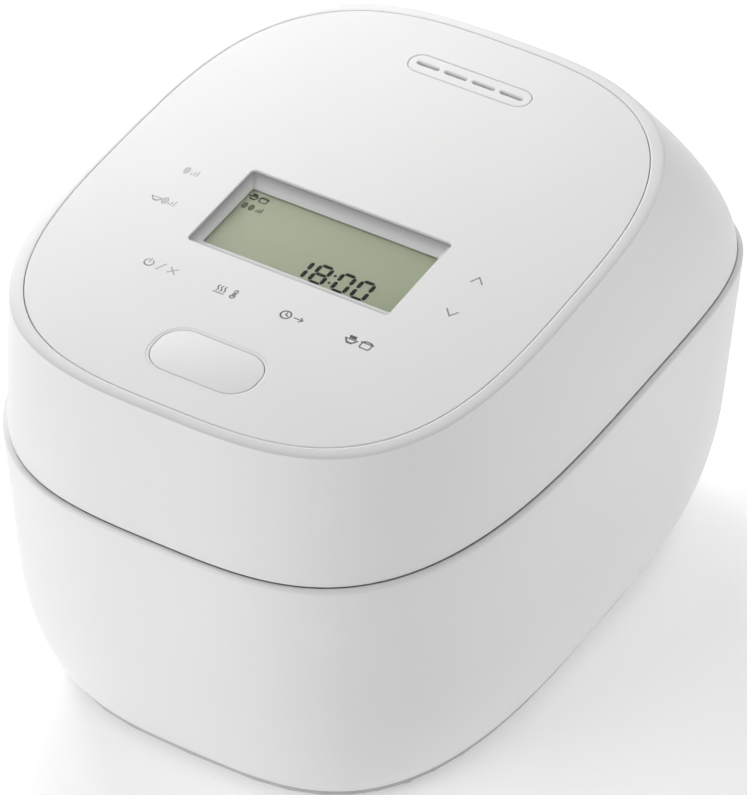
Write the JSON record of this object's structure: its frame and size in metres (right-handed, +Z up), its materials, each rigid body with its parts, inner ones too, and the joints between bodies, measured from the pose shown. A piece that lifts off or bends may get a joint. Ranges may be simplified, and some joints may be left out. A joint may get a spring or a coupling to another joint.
{
  "type": "rice cooker",
  "caption": "Countertop induction rice cooker with a hinged lid, flush top plate, display window, sprung open button, slotted steam cap and lift-out pot.",
  "frame": {"origin": "under the middle of the body, level with the bottom of the feet", "axes": "+Z up, -Y towards the front with the open button, +X to the right seen from the front; the lid hinge lies along X at the back"},
  "size_m": [0.2688, 0.3554, 0.2377],
  "materials": {
    "white_shell": "satin moulded white plastic",
    "top_white": "satin white top plate",
    "grey_plastic": "moulded grey plastic",
    "dark_plastic": "dark heat-resistant plastic",
    "rubber": "dark rubber",
    "silicone": "soft pale silicone",
    "steel": "plain steel",
    "aluminium": "satin aluminium",
    "pot_coating": "dark non-stick coating",
    "copper": "varnished copper winding",
    "ferrite": "sintered ferrite",
    "board": "green circuit board",
    "lcd": "grey-green liquid crystal panel",
    "window": "clear pane",
    "bezel": "pale grey surround"
  },
  "bodies": {
    "base": {"outer_case": "white_shell", "base_plate": "grey_plastic", "foot_front_left": "rubber", "foot_front_right": "rubber", "foot_rear_left": "rubber", "foot_rear_right": "rubber", "base_screw_front_left": "steel", "base_screw_front_right": "steel", "base_screw_rear_left": "steel", "base_screw_rear_right": "steel", "top_frame": "white_shell", "inner_case": "dark_plastic", "inner_pot": "pot_coating", "latch_catch": "steel", "side_coil": "copper", "bottom_coil": "copper", "coil_holder": "dark_plastic", "ferrite_bar_1": "ferrite", "ferrite_bar_2": "ferrite", "ferrite_bar_3": "ferrite", "ferrite_bar_4": "ferrite", "sensor_guide": "dark_plastic", "sensor_spring": "steel", "power_board": "board", "heat_sink": "aluminium", "capacitor": "dark_plastic", "choke_coil": "copper", "fan_housing": "dark_plastic", "cord_outlet": "grey_plastic", "hinge_bracket_left": "white_shell", "hinge_bracket_right": "white_shell", "hinge_pin": "steel", "hinge_spring_left": "steel", "hinge_spring_right": "steel"},
    "lid": {"lid_shell": "white_shell", "top_plate": "top_white", "display_window": "window", "display_bezel": "bezel", "lcd_panel": "lcd", "control_board": "board", "clock_battery": "steel", "button_cup": "grey_plastic", "button_spring": "steel", "lid_hinge_skirt": "white_shell", "lid_hinge_arm_left": "steel", "lid_hinge_arm_right": "steel", "steam_tray": "grey_plastic", "steam_packing": "silicone", "lid_lower_cover": "white_shell", "lid_heater": "steel", "inner_lid": "aluminium", "lid_gasket": "silicone", "latch_pin": "steel"},
    "open_button": {"open_button": "top_white"},
    "latch": {"latch_hook": "grey_plastic"},
    "steam_cap": {"steam_cap": "top_white"},
    "sensor": {"temperature_sensor": "aluminium"},
    "fan": {"fan_rotor": "dark_plastic"}
  },
  "joints": [
    {"name": "lid_hinge", "type": "hinge", "parent": "base", "child": "lid", "pos_m": [0, 0.1639, 0.1672], "axis": [-1, 0, 0], "range_deg": [0, 88], "deforming": ["hinge_spring_left", "hinge_spring_right"]},
    {"name": "button_press", "type": "slide", "parent": "lid", "child": "open_button", "axis": [0, 0.0419, -0.9991], "range_m": [0, 0.003], "stiffness_N_per_m": 300, "springref_m": -0.003, "deforming": ["button_spring"]},
    {"name": "latch_pivot", "type": "hinge", "parent": "lid", "child": "latch", "pos_m": [0, -0.148, 0.182], "axis": [-1, 0, 0], "range_deg": [0, 10.5]},
    {"name": "steam_cap_lift", "type": "slide", "parent": "lid", "child": "steam_cap", "axis": [0, -0.0419, 0.9991], "range_m": [0, 0.015]},
    {"name": "sensor_press", "type": "slide", "parent": "base", "child": "sensor", "axis": [0, 0, -1], "range_m": [0, 0.003], "stiffness_N_per_m": 200, "springref_m": -0.003, "deforming": ["sensor_spring"]},
    {"name": "fan_spin", "type": "hinge", "parent": "base", "child": "fan", "pos_m": [0, 0.12727, 0.0153], "axis": [0, 0, 1], "continuous": true}
  ],
  "couplings": [
    {"joint": "latch_pivot", "follows": "button_press", "rad_per_m": 60}
  ]
}
